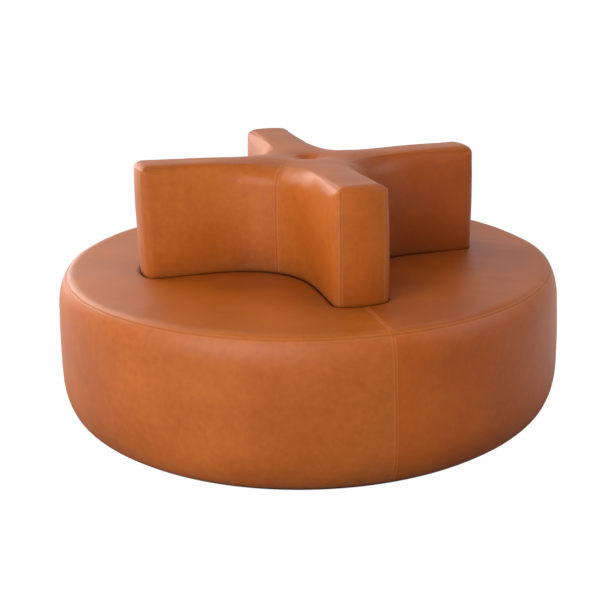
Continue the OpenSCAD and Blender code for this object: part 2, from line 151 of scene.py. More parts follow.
# painted shade: seam creases, the line along the back's foot and the leather beside it turn dark brown
shaded = add(tree, "Mix", {0: crease.outputs["Fac"], A: worn_and_highlit, B: linear("#471c00")}, data_type="RGBA")
pebble = add(tree, "TexVoronoi", {"Vector": place, "Scale": 1 / PEBBLE}, feature="SMOOTH_F1")
pulled = add(tree, "TexNoise", {"Vector": place, "Scale": 1 / PULLED, "Detail": 3.0})
grain = add(tree, "Math", {0: pebble, 1: pulled}, operation="ADD")
bump = add(tree, "Bump", {"Height": grain, "Strength": 0.35, "Distance": 0.0004})
gloss = add(tree, "MapRange", {"Value": mottle, "To Min": 0.42, "To Max": 0.52})
skin = add(tree, "BsdfPrincipled", {
    "Base Color": shaded, "Roughness": gloss, "IOR": 1.5, "Normal": bump,
    "Specular IOR Level": 0.36})
add(tree, "OutputMaterial", {"Surface": skin})
print(f"{leather.name}: {len(tree.nodes)} nodes")

# %% [markdown]
# ## Thread
#
# The topstitching is a bonded polyester thread a shade paler than the hide. Its twist
# gives it a slightly silky, uneven gloss. The twist is far too fine to model on a thousand
# stitches, so a fine noise breaks up the colour, and a little sheen gives the silk.

# %% Thread finish
TWIST = 0.0006      # metres between two turns of the twist

thread, tree, place = blank("bonded_polyester_thread")
fibre = add(tree, "TexNoise", {"Vector": place, "Scale": 1 / TWIST, "Detail": 2.0})
strand = add(tree, "Mix", {0: fibre, A: linear("#ab5c1f"), B: linear("#c87a38")}, data_type="RGBA")
silk = add(tree, "BsdfPrincipled", {"Base Color": strand, "Roughness": 0.5, "Sheen Weight": 0.1})
add(tree, "OutputMaterial", {"Surface": silk})
print(f"{thread.name}: {len(tree.nodes)} nodes")

# %% [markdown]
# ## A surface from a grid
#
# Every new piece is a grid of points in millimetres, given by a function of two numbers.
# Neighbouring points make the faces. A relief moves the points along the surface's normal,
# which is the cross product of its two slopes. Whole arrays are worked out at once, so a
# piece with fifty thousand points takes a moment.

# %% Grid helpers
MM = 0.001
MEET = 1e-6         # metres: points closer than this are one
LEATHER_T = 1.6     # from here on, the sizes of pieces are in millimetres


def normals(shape, u, v, side=1, step=1e-4):
    """Unit normals: the cross product of the slopes along the two parameters."""
    du = shape(u + step, v) - shape(u - step, v)
    dv = shape(u, v + step) - shape(u, v - step)
    n = side * np.cross(du, dv)
    return n / np.maximum(np.linalg.norm(n, axis=-1, keepdims=True), 1e-12)


def grid_mesh(name, *grids, side=1, wrap=False):
    """Faces between each four neighbours of every grid; wrap joins the last column to the first."""
    faces, start = [], 0
    for points in grids:
        n, m = points.shape[:2]
        index = start + np.arange(n * m).reshape(n, m)
        if wrap:
            index = np.concatenate([index, index[:, :1]], axis=1)
        corners = index[:-1, :-1], index[1:, :-1], index[1:, 1:], index[:-1, 1:]
        faces.append(np.stack(corners, axis=-1).reshape(-1, 4))
        start += n * m
    quads = np.concatenate(faces)[:, ::side]
    mesh = bpy.data.meshes.new(name)
    mesh.from_pydata(np.concatenate([g.reshape(-1, 3) for g in grids]) * MM, [], quads.tolist())
    mesh.shade_smooth()
    return mesh


def piece(name, mesh, finish, slot, *nodes):
    """An object on the frame, with its points joined where they meet, a finish, and the solids that it stands
    for hidden. The slot argument is not used."""
    made = bmesh.new()
    made.from_mesh(mesh)
    bmesh.ops.remove_doubles(made, verts=made.verts, dist=MEET)
    made.to_mesh(mesh)
    made.free()
    mesh.materials.append(finish)
    obj = bpy.data.objects.new(name, mesh)
    bpy.context.scene.collection.objects.link(obj)
    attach(obj, "root")
    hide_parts(*nodes)
    return obj


print("leather is", LEATHER_T, "mm thick")

# %% [markdown]
# ## Seams
#
# Two pieces of leather are sewn face to face, turned, and sewn again on each side. Each
# edge rounds down into the crease, the folded allowance lifts the leather into a low
# ridge, and the topstitch pulls a fine channel into that ridge. The seams round the top
# panel have no topstitch: they are soft valleys with fine puckers. A seam could be sculpted
# along its whole length, but it looks the same everywhere, so its relief is a function of
# one number, the distance from the seam line. The same number places the rubbed leather,
# with its painted highlight, and the painted shade in the crease. The distance to the back's
# foot places a painted shadow line and painted shade beside it, darker in the inner corners.

# %% Seam relief
EDGE_ROUND = 0.4
RIDGE, RIDGE_AT, RIDGE_WIDE = 0.36, 4.0, 2.6
CHANNEL, STITCH_AT, CHANNEL_WIDE = 0.15, 3.4, 0.8
VALLEY, VALLEY_WIDE = 0.6, 7.0
PUCKER, PUCKER_LONG = 0.14, 13.0
ALLOWANCE = 7.0
FINE = 14.0                              # this far beside a seam, points stand close together
# painted shade in the creases of the seams
PAINTED_CREASE_SHADE, PAINTED_CREASE_WIDE = 0.07, 1.2
# seam ridges rubbed paler, partly wear and partly a painted highlight
RUB_AND_HIGHLIGHT, RUB_AND_HIGHLIGHT_WIDE = 0.4, 2.0
PAINTED_FOOT_LINE, PAINTED_FOOT_LINE_WIDE = 0.8, 7.5          # a painted shadow: the dark line where the back meets the seat
PAINTED_FOOT_SHADE, PAINTED_FOOT_SHADE_WIDE = 0.75, 55.0    # painted shade on the leather beside that line
NOOK_END, NOOK_RUN = 480.0, 250.0        # along an arm: where that painted shade is only half as dark, and over what run
FAR = 1e4                                # no seam or contact anywhere near


def seam_relief(d):
    """Height at distance d: a quarter circle down into the crease, plus a bell for the ridge, less one for
    the channel."""
    near = np.clip(1 - d / EDGE_ROUND, 0, 1)
    crease = -EDGE_ROUND * (1 - np.sqrt(1 - near ** 2))
    ridge = RIDGE * np.exp(-((d - RIDGE_AT) / RIDGE_WIDE) ** 2)
    return crease + ridge - CHANNEL * np.exp(-((d - STITCH_AT) / CHANNEL_WIDE) ** 2)


def plain_relief(points, d, hard=1):
    """A seam without topstitching at distance d: a soft valley with fine puckers in it."""
    return hard * np.exp(-(d / VALLEY_WIDE) ** 2) * (unevenness(points, PUCKER_LONG, PUCKER) - VALLEY)


def seam_marks(mesh, d, contact, hide=(1, 1, 1), nook=1):
    """Keeps three marks on each point: the painted shade and the rub, as bells of the distances to a seam and
    to a contact, with more painted shade falling off beside the contact where nook is high, the rub also
    being a painted highlight; and the tint of its hide, which carries painted shade and sheen as well."""
    dark = PAINTED_CREASE_SHADE * np.exp(-(d / PAINTED_CREASE_WIDE) ** 2) + PAINTED_FOOT_LINE * np.exp(-(contact / PAINTED_FOOT_LINE_WIDE) ** 2)
    dark = dark + nook * PAINTED_FOOT_SHADE * np.exp(-contact / PAINTED_FOOT_SHADE_WIDE)
    rub_and_highlight = RUB_AND_HIGHLIGHT * np.exp(-((d - RIDGE_AT) / RUB_AND_HIGHLIGHT_WIDE) ** 2)
    tint = np.broadcast_to(hide, (*d.shape, 3))
    for name, kind, field, value in (("crease", "FLOAT", "value", dark), ("rubbed_and_highlit", "FLOAT", "value", rub_and_highlight),
                                     ("hide", "FLOAT_VECTOR", "vector", tint)):
        mesh.attributes.new(name, kind, "POINT").data.foreach_set(field, value.ravel().astype(np.float32))


WAVES = 14
rng = np.random.default_rng(11)
WAVE_WAYS = rng.normal(size=(WAVES, 3))
WAVE_WAYS /= np.linalg.norm(WAVE_WAYS, axis=1, keepdims=True)
WAVE_STARTS = rng.uniform(0, 2 * np.pi, WAVES)


def unevenness(points, size, height):
    """Sum of slow waves of one size in fixed directions: leather over foam is never quite even."""
    turns = points @ WAVE_WAYS.T * (2 * np.pi / size) + WAVE_STARTS
    return height * np.sin(turns).sum(axis=-1) / np.sqrt(WAVES)


def spaced(length, fine, pace, count):
    """Distances from 0 to length: close steps over the first stretch of a seam, then even ones."""
    return np.concatenate([np.linspace(0, fine, pace), np.linspace(fine, length, count)[1:]])


print("relief at 0, 2, 5 and 12 mm:", np.round(seam_relief(np.array([0, 2, 5, 12.0])), 2))

# %% [markdown]
# ## Leather that swells between its seams
#
# Foam pushes a cover outwards, and the seams hold it back. A dome formula would swell every
# panel alike, so cloth is used: a coarse copy of a panel is held along its edges, air
# pressure pushes it for twenty frames, and what comes back is how far each point moved
# along its normal, evened out over a few points because foam bridges small wrinkles. The
# sewn panel takes that swell between its own, much finer points. The copy is deleted.

# %% Cloth swell
PRESSURE, FRAMES, EVENED = 4.0, 20, 6
COARSE_V = np.linspace(0, 1, 40)


def swell(points, n, held, side, most):
    """Cloth pushed out by air while the held points stay: each point's way along its normal, scaled so
    that none goes past most."""
    mesh = grid_mesh("swelling", points, side=side)
    copy = bpy.data.objects.new("swelling", mesh)
    bpy.context.scene.collection.objects.link(copy)
    copy.vertex_groups.new(name="held").add(np.flatnonzero(held).tolist(), 1.0, "REPLACE")
    cloth = copy.modifiers.new("cloth", "CLOTH")
    hide = cloth.settings
    hide.quality, hide.mass = 6, 0.4
    hide.tension_stiffness = hide.compression_stiffness = 30
    hide.shear_stiffness, hide.bending_stiffness = 12, 2
    hide.vertex_group_mass = "held"
    hide.use_pressure, hide.uniform_pressure_force = True, PRESSURE
    hide.effector_weights.gravity = 0
    cloth.point_cache.frame_start, cloth.point_cache.frame_end = 1, FRAMES
    for step in range(1, FRAMES + 1):
        bpy.context.scene.frame_set(step)
    pushed = copy.evaluated_get(bpy.context.evaluated_depsgraph_get()).data
    moved = np.empty(points.size, dtype=np.float32)
    pushed.vertices.foreach_get("co", moved)
    bpy.context.scene.frame_set(1)
    bpy.data.objects.remove(copy)
    bpy.data.meshes.remove(mesh)
    out = ((moved.reshape(points.shape) / MM - points) * n).sum(axis=-1)
    for _ in range(EVENED):
        near = np.pad(out, 1, mode="edge")
        out = (near[:-2, 1:-1] + near[2:, 1:-1] + near[1:-1, :-2] + near[1:-1, 2:] + out) / 5
    print(f"cloth moved {np.abs(out).max():.1f} mm, kept to {most}")
    return out * most / max(np.abs(out).max(), most)


def swollen(shape, u_at, side, most):
    u, v = u_at[:, None], COARSE_V[None]
    held = np.zeros((len(u_at), len(COARSE_V)), dtype=bool)
    held[[0, -1]] = held[:, :3] = held[:, -1:] = True
    return swell(shape(u, v), normals(shape, u, v, side=side), held, side, most)


def between(table, u_at, u, v):
    """A swell's value between its own points, straight in both directions."""
    i, j = (np.interp(x, at, np.arange(len(at))) for x, at in ((u, u_at), (v, COARSE_V)))
    i0, j0 = np.minimum(i.astype(int), len(u_at) - 2), np.minimum(j.astype(int), len(COARSE_V) - 2)
    a, b = i - i0, j - j0
    low = table[i0, j0] * (1 - b) + table[i0, j0 + 1] * b
    return low * (1 - a) + (table[i0 + 1, j0] * (1 - b) + table[i0 + 1, j0 + 1] * b) * a


print("cloth runs")

# %% [markdown]
# ## The drum's outline
#
# The drum is a surface of revolution, so one outline in radius and height describes it:
# a nearly flat top that falls by 2 mm, a tall rounded shoulder, a wall that leans in a
# little, a soft tuck down to the base, and a hem stapled under it. A bevelled cylinder would
# show where its flats and rounds meet. Here the parts are joined, cut into equal steps and
# averaged over a few millimetres, which hides the joints as leather over foam does.

# %% Drum outline
SEAT_R, SEAT_H = 750.0, 425.0
FOOT_R, TUCK_W, TUCK_H = 690.0, 60.0, 124.0
SHOULDER_R, SHOULDER_W, SHOULDER_H = 698.5, 44.0, 98.0
WALL_TAPER = 7.5
CROWN_R, CROWN_FALL = 518.0, 2.0
HEM_Z, HEM_R, HEM_FLAT = 7.0, 645.0, 45.0
RIM_R, RIM_Z = 716.4, 414.5
SHOULDER_Z, TUCK_Z = SEAT_H - CROWN_FALL - SHOULDER_H, HEM_Z + TUCK_H
OUTLINE_STEP, EVEN_STEPS, EVEN_WIDE = 0.5, 30, 5.0


def arc(centre_r, centre_z, wide, tall, start, stop):
    """Points of an ellipse's arc between two angles in degrees."""
    a = np.radians(np.linspace(start, stop, 500))
    return np.stack([centre_r + wide * np.cos(a), centre_z + tall * np.sin(a)], axis=1)


fall = np.linspace(0, 1, 200)[:, None]
rise = fall[::-1]
parts = [
    np.array([[0, SEAT_H]]),
    np.hstack([CROWN_R + (SHOULDER_R - CROWN_R) * fall, SEAT_H - CROWN_FALL * fall ** 2]),
    arc(SHOULDER_R, SHOULDER_Z, SHOULDER_W, SHOULDER_H, 90, 0),
    np.hstack([SEAT_R - WALL_TAPER * rise ** 2, TUCK_Z + (SHOULDER_Z - TUCK_Z) * rise]),
    arc(FOOT_R, TUCK_Z, TUCK_W, TUCK_H, 0, -90),
    np.array([[HEM_R, HEM_Z]])]
outline = np.concatenate(parts)
run = np.concatenate([[0], np.cumsum(np.linalg.norm(np.diff(outline, axis=0), axis=1))])
OUT_S = np.arange(0, run[-1], OUTLINE_STEP)
bell = np.exp(-(np.arange(-EVEN_STEPS, EVEN_STEPS + 1) * OUTLINE_STEP / EVEN_WIDE) ** 2 / 2)
wide = (np.pad(np.interp(OUT_S, run, c), EVEN_STEPS, mode="reflect", reflect_type="odd") for c in outline.T)
OUT_R, OUT_Z = (np.convolve(c, bell / bell.sum(), "valid") for c in wide)
OUT_LENGTH = OUT_S[-1]
RIM_S = OUT_S[np.argmin(np.hypot(OUT_R - RIM_R, OUT_Z - RIM_Z))]
print(f"outline {OUT_LENGTH:.0f} mm, rim seam at {RIM_S:.0f} mm, radius {np.interp(RIM_S, OUT_S, OUT_R):.1f}")

# %% [markdown]
# ## The cross in plan
#
# The back cushion is a cross with four arms. In plan each quarter has two straight flanks
# joined by a concave bend that tightens towards the diagonal, and its foot has round corners.
# An outline drawn by hand would give the shape, but not the distance to it. Folding the plan
# into one eighth, so that only the distance along an arm and off its middle line count,
# gives that distance with two short formulas. The seat needs it first, because the cushion
# presses into the seat.

# %% Cross in plan
CORNER_C = 290.0
FOOT_HALF, FOOT_END, FOOT_CORNER = 71.0, 492.0, 21.0
END_HALF, END_BOW = 60.0, 11.0
PRESS, PRESS_RUN = 9.0, 7.5
BEND_STEPS = 200
BEND_U = np.linspace(0, 1, BEND_STEPS + 1)
HEADING = np.pi / 4 * (1 - np.sin(np.pi / 2 * BEND_U))
BEND_X, BEND_Y = (np.concatenate([[0], np.cumsum((a[1:] + a[:-1]) / 2)]) / BEND_STEPS
                  for a in (np.cos(HEADING), np.sin(HEADING)))


def folded(x, y):
    """Distance along the nearest arm, and off its middle line."""
    return np.maximum(np.abs(x), np.abs(y)), np.minimum(np.abs(x), np.abs(y))


def bend(half, corner):
    """Where a concave corner crosses the diagonal, and how long its bend is to the straight flank."""
    diagonal = corner - (corner - half) * math.sqrt(0.5)
    return diagonal, (diagonal - half) / BEND_Y[-1]


def inside(x, y, half, corner, end):
    """Distance in from the flank, bent or straight, and from the arm's end; both are negative outside."""
    along, off = folded(x, y)
    diagonal, length = bend(half, corner)
    u = np.interp((along - diagonal) / length, BEND_X, BEND_U)
    line = diagonal - length * np.interp(u, BEND_U, BEND_Y)
    flank = (line - off) * np.cos(np.interp(u, BEND_U, HEADING))
    return np.where(along > diagonal, flank, (2 * diagonal - along - off) * math.sqrt(0.5)), end - along


def end_bow(off):
    """How far an arm's end bows out at a distance off its middle line."""
    return END_BOW * (1 - np.minimum(off / END_HALF, 1) ** 2)


def off_foot(x, y):
    """Distance out from the back's foot, whose corners are round; 0 under it."""
    flank, end = inside(x, y, FOOT_HALF, CORNER_C, FOOT_END + end_bow(folded(x, y)[1]))
    past = np.hypot(np.maximum(FOOT_CORNER - flank, 0), np.maximum(FOOT_CORNER - end, 0))
    return np.maximum(past - FOOT_CORNER, 0)


def press(x, y):
    """How far the back's foot pushes the seat down: all of it under the foot, and a bell shape outside."""
    return PRESS * np.exp(-(off_foot(x, y) / PRESS_RUN) ** 2)


print("press at the foot and 15 mm out:", press(np.array([320.0, 320]), np.array([57.0, 75])).round(2))

# %% [markdown]
# ## Seat and side leather
#
# Two halves of seat leather and two halves of side leather meet in the rim seam, and a
# second seam crosses the drum from front to back. Cloth would hardly move here, because the
# leather is stretched over firm foam and a hoop of board. So the outline turned about the
# axis gives the base shape, and on top go the relief of both seams, the puckers along the
# rim, the press of the back and a slight unevenness, all of it flattened at the stapled
# hem. Each edge that is sewn is turned in by its allowance, as on the real cover, and
# Solidify gives the leather its thickness inwards. Each piece has a tint: partly its hide's
# own tone, partly painted shade on the darker pieces and painted sheen on the paler ones.

# %% Drum surface
PUFF, PUFF_IN, PUFF_RUN = 1.6, 15.0, 45.0
TUG, TUG_LONG, TUG_WIDE = 0.16, 28.0, 22.0
DRUM_SLOW, DRUM_QUICK = (260, 0.7), (70, 0.12)     # size and height of the unevenness


def drum(s, turn):
    """The outline at distance s, turned about the axis by an angle."""
    r, z = np.interp(s, OUT_S, OUT_R), np.interp(s, OUT_S, OUT_Z)
    return np.stack(np.broadcast_arrays(r * np.cos(turn), r * np.sin(turn), z), axis=-1)


def drum_normal(s, turn):
    """The outline's slope over 4 mm, turned a quarter to point outwards."""
    dr = np.interp(s + 2, OUT_S, OUT_R) - np.interp(s - 2, OUT_S, OUT_R)
    dz = np.interp(s + 2, OUT_S, OUT_Z) - np.interp(s - 2, OUT_S, OUT_Z)
    size = np.maximum(np.hypot(dr, dz), 1e-9)
    nr, nz = -dz / size, dr / size
    return np.stack(np.broadcast_arrays(nr * np.cos(turn), nr * np.sin(turn), nz), axis=-1)


def drum_seams(s, turn):
    """Distances to the rim seam and to the seam in the plane x = 0."""
    p = drum(s, turn)
    return np.broadcast_arrays(np.abs(s - RIM_S), np.abs(p[..., 0]))


def drum_raised(s, turn):
    """Points of the drum with all relief, and their normals."""
    p, n = drum(s, turn), drum_normal(s, turn)
    rim, cover = drum_seams(s, turn)
    h = seam_relief(rim) + seam_relief(cover) + unevenness(p, *DRUM_SLOW) + unevenness(p, *DRUM_QUICK)
    h = h + PUFF * np.exp(-((s - RIM_S + PUFF_IN) / PUFF_RUN) ** 2)
    h = h + np.exp(-(rim / TUG_WIDE) ** 2) * unevenness(p, TUG_LONG, TUG)
    h = h - np.where(s < RIM_S, press(p[..., 0], p[..., 1]), 0)
    h = h * np.clip((OUT_LENGTH - s) / HEM_FLAT - 1, 0, 1)
    return p + n * h[..., None], n


print("seat's height 600 mm out:", drum_raised(np.array([600.0]), np.zeros(1))[0][0, 2].round(1))

# %% Seat and side leather
INNER_S, OUTER_S = 170.0, 560.0     # rows stand far apart up to the first, and evenly up to the second
LINE_OUT = 3.0                      # on the seat the painted dark line starts this far off
HIDE_AND_PAINTED_LIGHT_TINTS = {                           # red, green and blue of a piece against the plain dye: partly its hide's tone, partly painted shade and painted sheen
    "side_cover_left": (1.04, 1.05, 2.6), "side_cover_right": (1.02, 0.9, 1.1),
    "seat_cover_left": (0.97, 0.98, 1.1), "seat_cover_right": (0.97, 0.9, 0.9), "top_cover": (0.95, 0.9, 0.9),
    "flank_cover_front_left_a": (1.01, 1.03, 1.7), "flank_cover_front_left_b": (1.08, 1.14, 2.2),
    "flank_cover_front_right_b": (0.8, 0.66, 0.35), "flank_cover_front_right_a": (0.92, 0.88, 0.9),
    "end_cover_left": (1.03, 1.08, 1.5), "end_cover_front": (1, 0.97, 1)}


def turned_in(points, n, edges):
    """Adds a row or column moved inwards by the allowance at each sewn edge."""
    for edge, axis, at in (("low", 0, 0), ("high", 0, -1), ("left", 1, 0), ("right", 1, -1)):
        if edge in edges:
            way = n.take([at], axis)
            fold = points.take([at], axis) - ALLOWANCE * way
            order = -1 if at == 0 else 1
            points, n = (np.concatenate(pair[::order], axis) for pair in ((points, fold), (n, way)))
    return points


def leather_cover(name, points, d, contact, edges, n, side, *nodes, wrap=False):
    """A leather piece from raised points: sewn edges turned in, marks kept, thickness inwards."""
    points = turned_in(points, n, edges)
    rows, columns = ([int(e in edges) for e in pair] for pair in (("low", "high"), ("left", "right")))
    d, contact = (np.pad(a, [rows, columns], mode="edge") for a in (d, contact))
    mesh = grid_mesh(name, points, side=side, wrap=wrap)
    # painted shade beside the back's foot: full up to 230 mm along an arm, half as dark from 480 mm
    nook = 0.5 + 0.5 * np.clip((NOOK_END - folded(points[..., 0], points[..., 1])[0]) / NOOK_RUN, 0, 1)
    seam_marks(mesh, d, contact, HIDE_AND_PAINTED_LIGHT_TINTS.get(name, (1, 1, 1)), nook)
    obj = piece(name, mesh, leather, "leather", *nodes)
    wall = obj.modifiers.new("thickness", "SOLIDIFY")
    wall.thickness, wall.offset = LEATHER_T * MM, -1
    return obj


seam_run = spaced(0.5, FINE / SEAT_R / np.pi, 20, 170)
half_turn = np.concatenate([seam_run, 1 - seam_run[-2::-1]]) * np.pi - np.pi / 2
top_s = np.concatenate([np.linspace(0, INNER_S, 6), np.linspace(INNER_S, OUTER_S, 80)[1:],
                        RIM_S - spaced(RIM_S - OUTER_S, FINE, 20, 24)[-2::-1]])
side_s = RIM_S + spaced(OUT_LENGTH - RIM_S, FINE, 20, 74)
for part, half, s, sewn, start, under in (("seat", "right", top_s, "high", 0, ["seat_foam"]),
                                          ("side", "right", side_s, "low", 0, ["side_foam"]),
                                          ("seat", "left", top_s, "high", np.pi, ["seat_wadding"]),
                                          ("side", "left", side_s, "low", np.pi, [])):
    points, n = drum_raised(s[:, None], half_turn[None] + start)
    d = np.minimum(*drum_seams(s[:, None], half_turn[None] + start))
    contact = off_foot(points[..., 0], points[..., 1]) + LINE_OUT if part == "seat" else np.full_like(d, FAR)
    made = leather_cover(f"{part}_cover_{half}", points, d, contact, (sewn, "left", "right"), n, 1,
                         f"{part}_leather_{half}", *under)
    print(made.name, len(made.data.polygons), "faces")

# %% [markdown]
# ## The back's top panel
#
# The top panel is a cross of leather, narrower than the cushion because the flanks roll in
# to meet it. It could be sculpted, but its form is simple enough to write down as a height
# over the plan: level along the middle of each arm, falling towards the flank seams, more
# softly in the inner corners, rolling over at the ends, and pulled down in the middle by the
# button into a wide bowl with a narrow pit. Rays from the middle to the sewn outline make
# the grid, so its last row is the seam itself.

# %% Top panel form
TOP_Z = 742.5
TOP_HALF, TOP_CORNER = 57.0, 208.0
TOP_END = 497.0
FLARE_RUN = 60.0
CROWN = 2.0
EDGE_WIDE, EDGE_FALL = 24.0, 9.0
SOFT_WIDE, SOFT_FALL = 62.0, 5.0
END_WIDE, END_FALL = 31.0, 19.0
SADDLE, SADDLE_RUN = 7.5, 330.0
BOWL, BOWL_R = 9.0, 62.0
PIT, PIT_RUN, BED_R = 13.0, 19.0, 14.0
GATHERS, GATHER, GATHER_R, GATHER_WIDE = 7, 0.9, 30.0, 13.0
SEWN_FROM, SEWN_RUN = 180.0, 180.0
STEEP = 0.95            # how near to upright a rolled edge comes
TOP_UNEVEN = (120, 0.5)


def smooth(x):
    """A step from 0 to 1 with level ends."""
    x = np.clip(x, 0, 1)
    return x * x * (3 - 2 * x)


def flare(along):
    """How much wider the panel is near an arm's end, where its seam runs out to the corner."""
    return (END_HALF - TOP_HALF) * (1 - smooth((TOP_END - along) / FLARE_RUN))


def sewn_hard(along):
    """How firmly the top seam is drawn in: not at all in the inner corners, and fully along an arm."""
    return smooth((along - SEWN_FROM) / SEWN_RUN)


def quarter_round(d, wide, tall):
    """Fall of an ellipse's quarter at distance d from its end, a little short of upright there."""
    near = STEEP * np.clip(1 - d / wide, 0, 1)
    return tall * (1 - np.sqrt(1 - near ** 2))


def top_height(x, y):
    """Level, less the crown, the rolled edges (the deeper one counts), the saddle, and the tuft with its
    gathers."""
    ax, ay = np.maximum(np.abs(x), 1e-3), np.maximum(np.abs(y), 1e-3)
    along, off = folded(x, y)
    soft_off = (ax ** -5 + ay ** -5) ** -0.2
    to_flank, to_end = inside(x, y, TOP_HALF, TOP_CORNER, TOP_END + end_bow(off))
    hard = sewn_hard(along)
    edge = hard * quarter_round(to_flank + flare(along), EDGE_WIDE, EDGE_FALL)
    edge = edge + (1 - hard) * SOFT_FALL * np.clip(1 - to_flank / SOFT_WIDE, 0, 1) ** 2
    roll = quarter_round(to_end, END_WIDE, END_FALL)
    rho = np.hypot(x, y)
    tuft = BOWL * np.exp(-(rho / BOWL_R) ** 2) + PIT * np.exp(-(np.maximum(0, rho - BED_R) / PIT_RUN) ** 2)
    gathers = GATHER * np.cos(GATHERS * np.arctan2(y, x)) * np.exp(-((rho - GATHER_R) / GATHER_WIDE) ** 2)
    saddle = SADDLE * np.exp(-(rho / SADDLE_RUN) ** 2)
    fall = CROWN * (soft_off / TOP_HALF) ** 2 + (edge ** 4 + roll ** 4) ** 0.25 + saddle
    return TOP_Z - fall - tuft + gathers


spots = np.array([[0, 300, 90], [0, 0, 90.0]])
print("top at the middle, on an arm and in a corner:", top_height(*spots).round(1))

# %% Top panel
HUB = 4.0               # the grid starts this far from the middle, under the button
FLANK_LONG = 400.0      # about the length of a flank's seam
EDGE_UP = 1.2           # how much more up than out the sewn edge faces
ROUND_TURN = math.pi / 2 - math.atan(2 * END_BOW / END_HALF)


def plan_line(t, half, corner, end, corner_round):
    """A quarter's flank in plan, from its diagonal (t = 0) to the arm's end (t = 1), by length: bend,
    straight, round."""
    diagonal, length = bend(half, corner)
    straight_end = end - corner_round * math.sin(ROUND_TURN)
    lengths = [length, straight_end - diagonal - length * BEND_X[-1], corner_round * ROUND_TURN]
    total = sum(lengths)
    s = t * total
    u = np.clip(s / length, 0, 1)
    straight = np.clip(s - length, 0, lengths[1])
    b = np.clip(s - length - lengths[1], 0, lengths[2]) / np.maximum(corner_round, 1e-6)
    x = diagonal + length * np.interp(u, BEND_U, BEND_X) + straight + corner_round * np.sin(b)
    y = diagonal - length * np.interp(u, BEND_U, BEND_Y) - corner_round * (1 - np.cos(b))
    return x, y, total


def top_seams(x, y):
    """Distances from the flank seam and, over the roll, from the end seam."""
    along, off = folded(x, y)
    flank, to_end = inside(x, y, TOP_HALF, TOP_CORNER, TOP_END + end_bow(off))
    rolled = quarter_round(0, END_WIDE, END_FALL) - quarter_round(to_end, END_WIDE, END_FALL)
    return np.maximum(flank + flare(along), 0), np.maximum(to_end, 0) + rolled


def top_raised(x, y):
    """Points of the top panel with seam relief, and normals from the height's slopes."""
    e = 0.05
    zx = (top_height(x + e, y) - top_height(x - e, y)) / (2 * e)
    zy = (top_height(x, y + e) - top_height(x, y - e)) / (2 * e)
    n = np.stack([-zx, -zy, np.ones_like(x)], axis=-1)
    n /= np.linalg.norm(n, axis=-1, keepdims=True)
    p = np.stack([x, y, top_height(x, y)], axis=-1)
    flank, end = top_seams(x, y)
    h = plain_relief(p, np.minimum(flank, end), sewn_hard(folded(x, y)[0])) + unevenness(p, *TOP_UNEVEN)
    return p + n * h[..., None], n


def about(points, quarter):
    """Points turned about the axis by quarters of a turn."""
    c, s = [(1, 0), (0, 1), (-1, 0), (0, -1)][quarter % 4]
    return points @ np.array([[c, s, 0], [-s, c, 0], [0, 0, 1]])


half_t = spaced(0.5, FINE / FLANK_LONG, 14, 30)
flank_t = np.concatenate([half_t, 1 - half_t[-2::-1]])
fx, fy, _ = plan_line(flank_t, TOP_HALF, TOP_CORNER, TOP_END, 0.0)
fy = fy + flare(fx)
ey = np.linspace(-END_HALF, END_HALF, 27)[1:-1]
ex = TOP_END + end_bow(np.abs(ey))
arm_x, arm_y = np.concatenate([fx, ex, fx[::-1]]), np.concatenate([-fy, ey, fy[::-1]])
arm = np.stack([arm_x, arm_y, np.zeros_like(arm_x)], axis=1)[:-1]
ring = np.concatenate([about(arm, q) for q in range(4)])
reach = np.hypot(ring[:, 0], ring[:, 1])
share = np.concatenate([np.linspace(0, 0.12, 12), np.linspace(0.12, 0.90, 26)[1:],
                        np.linspace(0.90, 0.98, 14)[1:], np.linspace(0.98, 1, 9)[1:]])
scale = (HUB + (reach - HUB) * share[:, None]) / reach
x, y = ring[:, 0] * scale, ring[:, 1] * scale
points, n = top_raised(x, y)
outward = np.stack([ring[:, 0] / reach, ring[:, 1] / reach, np.full_like(reach, EDGE_UP)], axis=1)
n[-1] = outward / np.linalg.norm(outward, axis=1, keepdims=True)
no_seam = np.full(x.shape, FAR)
top_cover = leather_cover("top_cover", points, no_seam, no_seam, ("high",), n, 1,
                          "top_leather", "top_foam", wrap=True)
print(top_cover.name, len(top_cover.data.polygons), "faces, highest", points[..., 2].max().round(1))

# %% [markdown]
# ## Flanks
#
# Each concave corner has two flank panels, sewn together in the corner and to the top and
# end panels. Going up, a flank starts with a small round at its foot, swells a little and
# then rolls inwards. At an arm's end the roll is tight. In the inner corner it is long and
# soft, because the leather is pulled over towards the tuft, and shallow folds stand beside
# the corner's seam. One straight extrusion of the plan can't do this, so the plan line's
# width and the centre of its bend both change with height. One flank is worked out and then
# mirrored and turned into all eight.

# %% Flank form
FOOT_Z, FOOT_ROUND, FOOT_RISE = 416.0, 6.0, 15.0
BASE_Z, SEAM_Z = 425.0, 724.0
HALF_BASE, HALF_TOP, HALF_SWELL = 76.0, 71.0, 3.0
SEAM_HALF_BASE = 62.0
END_SWELL = 3.0
ROLL_TIGHT, ROLL_SOFT, ROLL_RUN = 15.0, 55.0, 230.0
ROLL_ANGLE = math.radians(68)
V_FOOT, V_ROLL = 0.06, 0.70
FOLD, FOLD_WIDE, FOLD_LEAN, FOLD_RUN = 0.5, 34.0, 0.12, 110.0
FLANK_SLOW, FLANK_QUICK = (150, 0.8), (55, 0.15)
FLANK_MOST = 5.0                    # the cloth's swell is kept to this
ROLL_LONG = 1.05                    # length of the roll's arc over its chord
OFF_SEAM = 200.0                    # added below the roll, where the top seam no longer counts
EDGE_LEAN, EDGE_RISE = 0.64, 0.77   # the top seam's edge is turned in along this way
TUCK_UNDER = 22.0                   # how far the cover runs in under the foot


def climb(z):
    """Share of the height between the seat and the top seam."""
    return np.clip((z - BASE_Z) / (SEAM_Z - BASE_Z), 0, 1)


